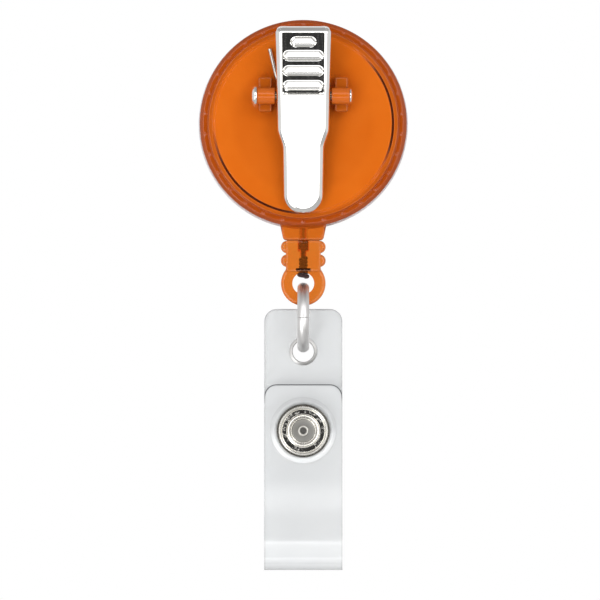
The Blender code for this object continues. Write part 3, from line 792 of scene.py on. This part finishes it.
def build_ring():
    """A bent wire whose two cut ends meet at a fine gap that faces the clip side."""
    radius, wire_r, half_gap = 4.55 * MM, 0.775 * MM, 0.006
    count = 160
    path = []
    for i in range(count + 1):
        angle = math.pi + half_gap + (2 * math.pi - 2 * half_gap) * i / count
        path.append((0.0, radius * math.cos(angle), RING_Z + radius * math.sin(angle)))
    ring = tube("link_wire", path, wire_r, 32, lambda i: 0.97 if i in (0, count) else 1.0)
    ring.data.transform(Matrix.Diagonal((1.16, 1.0, 1.0, 1.0)))
    finish_piece(ring, WIRE, "link_ring", "nickel_wire", "ring")


build_cord_end()
build_ring()

# ---------------------------------------------------------------- strap
STRAP_T = 0.7
STRAP_HALF = 5.95
PANEL_Y = 0.6
FLAP_Y = -2.0
FLAP_FOOT_Y = -2.9
FOLD_Y = (PANEL_Y + FLAP_FOOT_Y) / 2
FOLD_Z = -65.85
FOLD_R = (PANEL_Y - FLAP_FOOT_Y) / 2
BOW_Y = -3.6
BOW_Z = -62.5
BOW_TOP_Z = -51.5
STRAP_TOP_Z = -28.2
FLAP_TOP_Z = -39.65
EYELET_Z = -34.66
SNAP_Z = -46.7
CORNER_R = 1.9
EDGE_LINE = (0.24, 0.12)
FOLD_BRIGHT_Z = -63.4
NO_END = 99.0


def vinyl_material():
    """Clear vinyl: the flap is cloudier than the back panel. Painted shade greys the cut edges, the ridge
    round the snap, the flap above the snap and the fold's crease; painted light whitens a crescent below the
    snap and the fold.
    """
    shader = Shader("clear_vinyl", IOR=1.5)
    sheet = shader.drifting((0.92, 0.935, 0.945), (0.95, 0.96, 0.965), 90.0)
    height = shader.place("Z")
    front = shader.span(shader.place("Y"), 0.2, -1.6)
    back = shader.math("SUBTRACT", 1.0, front)
    side = shader.math("ABSOLUTE", shader.place("X"))
    outer = shader.math("MAXIMUM", shader.math("SUBTRACT", side, STRAP_HALF - CORNER_R), 0.0)

    def painted_edge_shade(top, along_side, along_top):
        """A painted grey shade line along the outline of a strip that ends at top with round corners."""
        upper = shader.math("MAXIMUM", shader.math("SUBTRACT", height, top - CORNER_R), 0.0)
        reach = shader.length(shader.node("CombineXYZ", {0: outer, 1: upper}).outputs[0])
        line = shader.span(reach, CORNER_R - EDGE_LINE[0], CORNER_R - EDGE_LINE[1])
        near_top = shader.span(height, top - 3.0, top - 1.4)
        return shader.times(line, shader.ramp(near_top, (0.0, along_side), (1.0, along_top)))

    # Painted shade along the flap's and the back panel's cut edges, stronger along their tops.
    flap_painted_edge_shade = shader.times(painted_edge_shade(FLAP_TOP_Z, 0.22, 0.95), front)
    panel_painted_edge_shade = shader.times(painted_edge_shade(STRAP_TOP_Z, 0.22, 0.42), back)
    away = shader.from_axis(SNAP_Z)
    # Painted shade: a thin grey line round the ridge about the snap.
    snap_ridge_painted_shade = shader.times(shader.window(away, 5.0, 5.1, 0.08), front, 0.16)
    # Painted shadow of the snap cap, greying the flap above it.
    above = shader.times(shader.span(away, 6.9, 4.2), shader.span(height, -47.2, -43.2), front, 0.24)
    # Painted shade: a faint grey line along the fold's crease.
    painted_crease_shade = shader.times(shader.window(height, -66.9, -66.75, 0.1), front, 0.10)
    # All the painted shade together, mixed towards near black and making the vinyl less clear there.
    grey = shader.math("ADD", flap_painted_edge_shade, panel_painted_edge_shade, snap_ridge_painted_shade, painted_crease_shade, above)
    shader.drive("Base Color", shader.mixed(grey, sheet, (0.07, 0.07, 0.075, 1.0)))
    # Painted light: a bright crescent below the snap and a brighter band at the fold, whitened by making the
    # vinyl less clear there.
    below = shader.times(shader.window(away, 3.0, 4.85, 0.2), shader.span(height, -46.2, -48.6), front)
    fold = shader.span(height, FOLD_BRIGHT_Z + 0.1, FOLD_BRIGHT_Z - 0.3)
    white = shader.ramp(shader.math("MAXIMUM", shader.times(fold, 0.6), below), (0.0, 1.0), (1.0, 0.3))
    haze = shader.times(shader.ramp(front, (0.0, 0.62), (1.0, 0.48)), white)
    shader.drive("Transmission Weight", shader.times(haze, shader.math("SUBTRACT", 1.0, grey)))
    scuffs = shader.noise(SCUFFS, 4.0)
    shader.drive("Roughness", shader.ramp(scuffs, (0.35, 0.12), (0.75, 0.2)))
    shader.drive("Normal", shader.bump(shader.noise(300.0, 2.0), 0.15, 0.00003))
    return shader.material


def snap_material():
    """Pressed nickel: polished rings, a dull middle, a mottled channel, painted shade in the centre hollow
    and a painted shadow line at the rim.
    """
    shader = Shader("snap_nickel", Metallic=1.0)
    plate = shader.drifting((0.70, 0.68, 0.63), (0.90, 0.88, 0.84), PATCHES, 3.0)
    # Painted shade in the hollow at the centre and a painted shadow line round the rim; the dull middle is a
    # darker tone.
    tones_and_painted_shadow = shader.rings(
        SNAP_Z,
        5.0,
        (0.425, 0.16),
        (0.525, 1.0),
        (0.75, 1.0),
        (0.85, 0.36),
        (1.6, 0.44),
        (1.75, 1.0),
        (3.825, 1.0),
        (3.875, 0.3),
        (3.975, 0.3),
        (4.05, 0.4),
    )
    shader.drive("Base Color", shader.tinted(plate, tones_and_painted_shadow))
    away = shader.from_axis(SNAP_Z)
    worn = shader.ramp(shader.noise(SCUFFS, 4.0), (0.46, 0.0), (0.66, 0.8))
    channel = shader.times(shader.window(away, 2.5, 3.3, 0.05), worn)
    dull = shader.math("ADD", shader.span(away, 1.75, 1.65), channel)
    shader.drive("Roughness", shader.ramp(dull, (0.0, 0.10), (1.0, 0.34)))
    shader.drive("Normal", shader.bump(shader.noise(LINES, 5.0), 0.6, 0.00002))
    return shader.material


def flap_y(z):
    """The flap's middle line: straight down from the top, out to a bow, and in to the fold."""
    if z > BOW_Z:
        return BOW_Y + (FLAP_Y - BOW_Y) * smooth((z - BOW_Z) / (BOW_TOP_Z - BOW_Z))
    return BOW_Y + (FLAP_FOOT_Y - BOW_Y) * ((BOW_Z - z) / (BOW_Z - FOLD_Z)) ** 2


def end_distances(length, step):
    """Distances from a strip's round end along its length, closer together in the corners."""
    steps = int((length - CORNER_R) / step)
    near = [CORNER_R * (1 - math.cos(math.radians(a))) for a in range(0, 90, 9)]
    return near + [CORNER_R + (length - CORNER_R) * i / steps for i in range(steps)]


def strap_rows():
    """(y, z, distance from the strip's end) down the back, round the fold and up the flap."""
    rows = [(PANEL_Y, STRAP_TOP_Z - d, d) for d in end_distances(STRAP_TOP_Z - FOLD_Z, 0.4)]
    for i in range(25):
        angle = math.radians(-180 * i / 24)
        rows.append((FOLD_Y + FOLD_R * math.cos(angle), FOLD_Z + FOLD_R * math.sin(angle), NO_END))
    up = end_distances(FLAP_TOP_Z - FOLD_Z, 0.2)
    return rows + [(flap_y(FLAP_TOP_Z - d), FLAP_TOP_Z - d, d) for d in reversed(up)]


def snap_rise(x, z):
    """How far the flap swells out in a ridge round the snap, which pinches it down."""
    away = math.hypot(x, z - SNAP_Z)
    return -0.36 * smooth((away - 3.95) / 0.35) * smooth((5.1 - away) / 0.8)


def build_strap():
    columns = 77
    points = []
    rows = strap_rows()
    for y, z, end in rows:
        inset = 0.0
        if end < CORNER_R:
            inset = CORNER_R - math.sqrt(CORNER_R**2 - (CORNER_R - end) ** 2)
        half = STRAP_HALF - inset
        for k in range(columns):
            x = half * (2 * k / (columns - 1) - 1)
            rise = snap_rise(x, z) if y < -1.5 else 0.0
            points.append((x * MM, (y + rise) * MM, z * MM))
    strap = mesh_object("strap_vinyl", points, grid_faces(len(rows), columns), sharp=60.0)
    sheet = strap.modifiers.new("Sheet", "SOLIDIFY")
    sheet.thickness = STRAP_T * MM
    sheet.offset = 0.0
    sheet.use_even_offset = True
    apply_modifiers(strap, 60.0)
    bevelled(strap, 0.2 * MM, 60.0, 50.0)
    cutters = [
        cylinder("eyelet_seat", 1.9 * MM, -3 * MM, 3 * MM, across(EYELET_Z)),
        cylinder("snap_seat", 1.4 * MM, -6 * MM, 6 * MM, across(SNAP_Z)),
    ]
    combine(strap, cutters, "DIFFERENCE", 50.0)
    finish_piece(strap, vinyl_material(), None, "clear_vinyl", "strap_back", "strap_fold", "strap_flap")
    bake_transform(strap)


def build_eyelet():
    inner, outer = PANEL_Y - 0.47, PANEL_Y + 0.47
    corners = [
        (1.62, outer - 0.1, 0.08),
        (1.72, outer + 0.08, 0.08),
        (2.0, outer + 0.08, 0.1),
        (2.14, outer - 0.1, 0.03),
        (1.86, outer - 0.1, 0.02),
        (1.86, inner + 0.1, 0.02),
        (2.14, inner + 0.1, 0.03),
        (2.12, inner + 0.04, 0.03),
        (1.72, inner - 0.13, 0.06),
        (1.62, inner + 0.1, 0.03),
    ]
    place = across(EYELET_Z)
    turned_piece("eyelet", corners, place, EYELET, "strap", "nickel_eyelet", "strap_eyelet", True)


def build_snap():
    """Cap and socket on the flap, stud and post on the back panel."""
    nickel = snap_material()
    out = FLAP_Y - STRAP_T / 2
    cap = [
        (0.0, out + 0.63),
        (1.3, out + 0.63, 0.05),
        (1.3, out - 0.08, 0.05),
        (3.78, out - 0.08, 0.05),
        (4.04, out - 0.3, 0.1),
        (4.05, out - 0.74, 0.05),
        (3.98, out - 0.78, 0.04),
        (3.88, out - 0.42, 0.04),
        (3.76, out - 0.88, 0.08),
        (3.6, out - 1.0, 0.12),
        (3.4, out - 0.86, 0.08),
        (3.3, out - 0.5, 0.1),
        (2.5, out - 0.5, 0.1),
        (2.36, out - 0.84, 0.08),
        (2.16, out - 0.88, 0.06),
        (2.08, out - 0.7, 0.05),
        (1.96, out - 0.7, 0.05),
        (1.84, out - 0.92, 0.08),
        (1.64, out - 0.58, 0.08),
        (0.84, out - 0.58, 0.08),
        (0.74, out - 0.86, 0.07),
        (0.56, out - 0.86, 0.07),
        (0.46, out - 0.48, 0.06),
        (0.0, out - 0.48),
    ]
    inside = FLAP_Y + STRAP_T / 2
    socket = [
        (0.0, inside + 0.33),
        (2.15, inside + 0.33, 0.05),
        (2.15, inside + 1.2, 0.1),
        (2.6, inside + 1.34, 0.3),
        (3.2, inside + 1.2, 0.3),
        (3.5, inside + 0.75, 0.3),
        (3.5, inside + 0.3, 0.1),
        (3.3, inside + 0.06, 0.05),
        (0.0, inside + 0.06),
    ]
    panel_in = PANEL_Y - STRAP_T / 2
    stud = [
        (0.0, panel_in - 0.05),
        (3.4, panel_in - 0.05, 0.05),
        (3.4, panel_in - 0.26, 0.08),
        (1.85, panel_in - 0.32, 0.15),
        (1.7, panel_in - 0.6, 0.2),
        (1.92, panel_in - 1.0, 0.2),
        (1.85, panel_in - 1.25, 0.15),
        (1.6, panel_in - 1.38, 0.1),
        (0.0, panel_in - 1.38),
    ]
    panel_out = PANEL_Y + STRAP_T / 2
    post = [
        (0.0, panel_out + 0.9),
        (2.5, panel_out + 0.8, 1.5),
        (3.5, panel_out + 0.5, 0.8),
        (3.9, panel_out + 0.2, 0.15),
        (3.85, panel_out + 0.06, 0.05),
        (1.3, panel_out + 0.06, 0.05),
        (1.3, panel_out - 0.6, 0.05),
        (0.0, panel_out - 0.6),
    ]
    for part, corners, body in (
        ("cap", cap, "flap"),
        ("socket", socket, "flap"),
        ("stud", stud, "strap"),
        ("post", post, "strap"),
    ):
        node = "snap_" + part
        turned_piece(node + "_shell", corners, across(SNAP_Z), nickel, body, "snap_metal", node)


build_strap()
build_eyelet()
build_snap()

# ---------------------------------------------------------------- clip
LEAN = math.radians(8.3)
LEVER_H = 2.6
LEVER_T = 0.45
EDGE_R = 0.9
THUMB_U = 10.6
THUMB_HALF = 4.2
THUMB_R = 0.9
TIP_R = 3.0
TIP_U = -17.7
POCKET = (0.5, 10.08)
POCKET_SHARE = 0.825
POCKET_R = 0.4
POCKET_WALL = 0.22
POCKET_DEPTH, POCKET_SLOPE = 0.36, 0.1
BARS = ((8.42, 1.84), (6.36, 3.0), (4.07, 3.0), (1.84, 3.0))
BAR_HALF = 0.78
CREST = -0.45
BAR_H = 0.40
SLOPES = (1.35, 1.9)
SKIRT = 0.05
SKIRT_ROWS = 4
EAR_R, EAR_UP = 1.6, 0.3
RIM_SHARE = 0.18
COIL_R = 1.25


def rivet_material():
    """Bright nickel heads on a shaft with painted shade between the lugs."""
    shader = Shader("rivet_nickel", Metallic=1.0)
    bright = shader.drifting((0.88, 0.87, 0.84), (0.95, 0.94, 0.92), PATCHES, 3.0)
    # Painted shade: the shaft darkened to dark brown inside the lugs.
    shaft = shader.span(shader.math("ABSOLUTE", shader.place("X")), 6.6, 5.6)
    shader.drive("Base Color", shader.mixed(shaft, bright, (0.20, 0.12, 0.08, 1.0)))
    shader.brushed(0.08)
    return shader.material


def lever_frame():
    """From the lever's own (x, u along it, height over the pivot) to the object's frame."""
    out = Vector((0.0, -math.cos(LEAN), -math.sin(LEAN)))
    up = Vector((0.0, -math.sin(LEAN), math.cos(LEAN)))
    axes = Matrix((up.cross(out), up, out)).transposed().to_4x4()
    return Matrix.Translation(PIVOT) @ axes


def lever_outline():
    """The right side of the lever's outline from its tip to its thumb end, in (x, u)."""
    tip = [(0.0, TIP_U)]
    tip += [
        (TIP_R * math.sin(math.radians(a)), TIP_U + TIP_R - TIP_R * math.cos(math.radians(a)))
        for a in range(3, 91, 3)
    ]
    side = [
        (3.02, -14.3),
        (3.14, -7.4, 1.5),
        (3.92, -5.1, 1.8),
        (THUMB_HALF, THUMB_U, THUMB_R),
        (0.0, THUMB_U),
    ]
    return tip + filleted([tip[-1], *side])[1:]


def edge_gaps(outline, places):
    """How far each (x, u) place is from the lever's outline, found on closely spaced points."""
    dense = []
    for side in (1, -1):
        line = np.array([(side * x, u) for x, u in outline])
        for first, second in zip(line, line[1:]):
            count = max(2, int(np.linalg.norm(second - first) / 0.05))
            dense += [first + (second - first) * i / count for i in range(count)]
    edge = np.array(dense)
    batch = 2000
    batches = [places[i : i + batch, None] for i in range(0, len(places), batch)]
    return np.concatenate([np.sqrt(((some - edge[None]) ** 2).sum(2)).min(1) for some in batches])


def pocket_distance(x, u, half):
    """Signed distance to the grip pocket's rounded edge, less than zero inside."""
    low, high = POCKET
    dx = abs(x) - (POCKET_SHARE * half - POCKET_R)
    du = abs(u - (low + high) / 2) - ((high - low) / 2 - POCKET_R)
    return math.hypot(max(dx, 0.0), max(du, 0.0)) + min(max(dx, du), 0.0) - POCKET_R


def bar_height(x, u):
    """The height of a pressed grip bar above the pocket's floor: a long slope up to a low crest."""
    for centre, wide in BARS:
        over = max(0.0, abs(x) - (wide - BAR_HALF)) / BAR_HALF
        if over >= 1.0 or abs(u - centre) >= BAR_HALF:
            continue
        round_end = math.sqrt(1 - over * over)
        v = (u - centre) / BAR_HALF / round_end
        if abs(v) >= 1.0:
            continue
        share = (v - CREST) / ((1 if v > CREST else -1) - CREST)
        return BAR_H * (1 - share ** SLOPES[v < CREST]) * round_end**0.5
    return 0.0


def lever_rows():
    """Heights u of the lever's rows, closer together at both ends and in the pocket."""
    rows = {TIP_U + TIP_R - TIP_R * math.cos(math.radians(a)) for a in range(12, 91, 3)}
    rows |= {THUMB_U - THUMB_R * (1 - math.cos(math.radians(a))) for a in range(0, 91, 8)}
    rows |= {-14.7 + 0.35 * i for i in range(1, 42)}
    rows |= {0.08 * i for i in range(1, 128)}
    rows = sorted(rows)
    return [u for i, u in enumerate(rows) if not i or u - rows[i - 1] > 0.004]


def lever_shares():
    """Places across a row as shares of its half width, closer at the rim and the pocket's edge."""
    inner = 1 - RIM_SHARE
    shares = [inner * i / 32 for i in range(33)]
    shares += [inner + (1 - inner) * math.sin(math.radians(a)) for a in range(9, 91, 9)]
    shares += [POCKET_SHARE - 0.04, POCKET_SHARE - 0.02, POCKET_SHARE + 0.02]
    shares = sorted(set(shares))
    return [-s for s in reversed(shares[1:])] + shares


def build_lever():
    """A pressed plate with a rounded rim, whose skirt runs down to two ears on the rivet."""
    outline = lever_outline()
    right = [(u, x) for x, u in outline if u < THUMB_U - 0.0001] + [(THUMB_U, THUMB_HALF - THUMB_R)]
    us, halves = zip(*sorted(right))
    rows, shares = lever_rows(), lever_shares()
    wide = len(shares)
    grid = []
    for u in rows:
        half = float(np.interp(u, us, halves))
        grid += [(share * half, u, half) for share in shares]
    gaps = edge_gaps(outline, np.array([(x, u) for x, u, _ in grid]))
    points = []
    for i, ((x, u, half), gap) in enumerate(zip(grid, gaps)):
        if i % wide in (0, wide - 1) or i < wide or i >= len(grid) - wide:
            gap = 0.0
        drop = EDGE_R - math.sqrt(EDGE_R**2 - max(0.0, EDGE_R - gap) ** 2)
        floor = POCKET_DEPTH + POCKET_SLOPE * (u - POCKET[0])
        inside = smooth(-pocket_distance(x, u, half) / POCKET_WALL)
        points.append((x, u, LEVER_H - drop - floor * inside + bar_height(x, u)))
    faces = grid_faces(len(rows), wide)
    last = (len(rows) - 1) * wide
    rim = [i * wide + wide - 1 for i in range(len(rows))]
    rim += [last + k for k in range(wide - 2, -1, -1)]
    rim += [i * wide for i in range(len(rows) - 2, -1, -1)]
    rim += list(range(1, wide))
    above = rim
    for level in range(1, SKIRT_ROWS + 1):
        here = []
        for index in rim:
            x, u, top = points[index]
            low = SKIRT
            if abs(u) < EAR_R:
                low = min(SKIRT, EAR_UP - math.sqrt(EAR_R**2 - u * u))
            here.append(len(points))
            points.append((x, u, top + (low - top) * level / SKIRT_ROWS))
        for k in range(len(rim) - 1):
            faces.append((above[k], above[k + 1], here[k + 1], here[k]))
        above = here
    place = lever_frame()
    lever = mesh_object("clip_lever_pressing", [Vector(p) * MM for p in points], faces, place, 40.0)
    if lever.data.polygons[len(lever.data.polygons) // 2].normal.dot(place.col[2].xyz) < 0:
        lever.data.flip_normals()
    sheet = lever.modifiers.new("Sheet", "SOLIDIFY")
    sheet.thickness = LEVER_T * MM
    sheet.offset = -1.0
    apply_modifiers(lever, 40.0)
    hole = cylinder("hole", 0.76 * MM, -6 * MM, 6 * MM, place @ AXIS_X, 40)
    combine(lever, [hole], "DIFFERENCE", 40.0)
    finish_piece(lever, NICKEL, "lever", "bright_nickel", "clip_lever")


def build_rivet():
    corners = [
        (0.0, 7.45),
        (0.75, 7.43, 0.3),
        (1.1, 7.25, 0.12),
        (1.1, 7.05, 0.03),
        (0.7, 7.05, 0.03),
        (0.7, -7.05, 0.03),
        (1.5, -7.05, 0.05),
        (1.54, -7.35, 0.15),
        (1.15, -7.74, 0.6),
        (0.0, -7.92),
    ]
    place = at(*PIVOT) @ AXIS_X
    nickel = rivet_material()
    turned_piece("clip_rivet_pin", corners, place, nickel, "case", "bright_nickel", "clip_rivet", segments=64)


def build_clip_spring():
    """A torsion spring: one leg on the case back, its coil on the rivet, one leg in the lever."""
    per_turn, turns = 40, 4.5
    path = [(-5.1, -4.6, 11.25), (-4.5, -4.9, 8.75), (-3.95, -5.2, 6.45)]
    path += [(-3.45, -5.5, 5.5), (-3.0, -5.62, 4.9)]
    for i in range(int(per_turn * turns) + 1):
        angle = 2 * math.pi * i / per_turn
        y = PIVOT.y / MM + COIL_R * math.cos(angle)
        z = PIVOT.z / MM - COIL_R * math.sin(angle)
        path.append((-2.85 + 0.6 * i / per_turn, y, z))
    path = [Vector(p) * MM for p in path]
    place = lever_frame()
    path += [place @ (Vector((-0.15, u, w)) * MM) for u, w in ((2.5, 1.1), (4.0, 1.12), (6.5, 0.95))]
    spring = tube("clip_torsion_spring", path, 0.27 * MM, 16)
    finish_piece(spring, STEEL, None, "spring_steel", "clip_spring")
    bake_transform(spring)


build_lever()
build_rivet()
build_clip_spring()

# ---------------------------------------------------------------- floor and light
FLOOR_REACH, FLOOR_Z = 2.5, -1.05
LENS_TILT = math.radians(4.0)
TENT_STRENGTH = 2.85
TENT = (
    (0.0, 0.01),
    (15.0, 0.01),
    (19.0, 1.0),
    (33.0, 1.0),
    (40.0, 0.30),
    (60.0, 0.26),
    (135.0, 0.25),
    (180.0, 0.28),
)
WHITE = (1.0, 1.0, 1.0, 1.0)
LIGHT_AIM = Vector((0.0, 0.0, -0.025))


def build_floor():
    shader = Shader("studio_floor", Roughness=0.9)
    shader.drive("Base Color", shader.drifting(0.80, 0.83, 3.0, 3.0))
    corners = ((-1, -1), (1, -1), (1, 1), (-1, 1))
    points = [(x * FLOOR_REACH, y * FLOOR_REACH, FLOOR_Z) for x, y in corners]
    floor = mesh_object("floor", points, [(0, 1, 2, 3)])
    floor.data.materials.append(shader.material)


def build_world():
    """A light tent: dark at the lens, brightest round it, greyer to the sides and above."""
    world = bpy.data.worlds.new("light_tent")
    bpy.context.scene.world = world
    world.use_nodes = True
    graph = Graph(world.node_tree)
    nodes, links = world.node_tree.nodes, world.node_tree.links
    facing = graph.node("TexCoord").outputs["Generated"]
    lens = (0.0, -math.cos(LENS_TILT), math.sin(LENS_TILT))
    towards = graph.node("VectorMath", {0: facing, 1: lens}, operation="DOT_PRODUCT").outputs["Value"]
    share = graph.math("DIVIDE", graph.math("ARCCOSINE", towards), math.pi)
    shade = graph.ramp(share, *((degrees / 180, tone) for degrees, tone in TENT))
    height = graph.node("SeparateXYZ", {0: facing}).outputs["Z"]
    limits = {"Value": height, "From Min": 0.3, "From Max": 0.85, "To Min": 1.0, "To Max": 0.5}
    dimming = graph.node("MapRange", limits, interpolation_type="SMOOTHSTEP").outputs["Result"]
    dimmed = graph.node("VectorMath", {0: shade, "Scale": dimming}, operation="SCALE").outputs["Vector"]
    tent = nodes["Background"]
    tent.inputs["Strength"].default_value = TENT_STRENGTH
    links.new(dimmed, tent.inputs["Color"])
    paper = graph.node("Background", {"Color": WHITE, "Strength": 1.0})
    seen = graph.node("LightPath").outputs["Is Camera Ray"]
    mix = graph.node("MixShader", {0: seen, 1: tent.outputs[0], 2: paper.outputs[0]})
    links.new(mix.outputs[0], nodes["World Output"].inputs["Surface"])


def build_light(name, place, size, power):
    data = bpy.data.lights.new(name, "AREA")
    data.size = size
    data.energy = power
    light = add_object(name, data)
    light.location = place
    light.rotation_euler = (LIGHT_AIM - Vector(place)).to_track_quat("-Z", "Y").to_euler()


build_floor()
build_world()
build_light("key_softbox", (-0.55, -0.8, -0.6), 0.5, 2.6)
build_light("fill_softbox", (0.6, -0.8, 0.4), 0.5, 0.7)
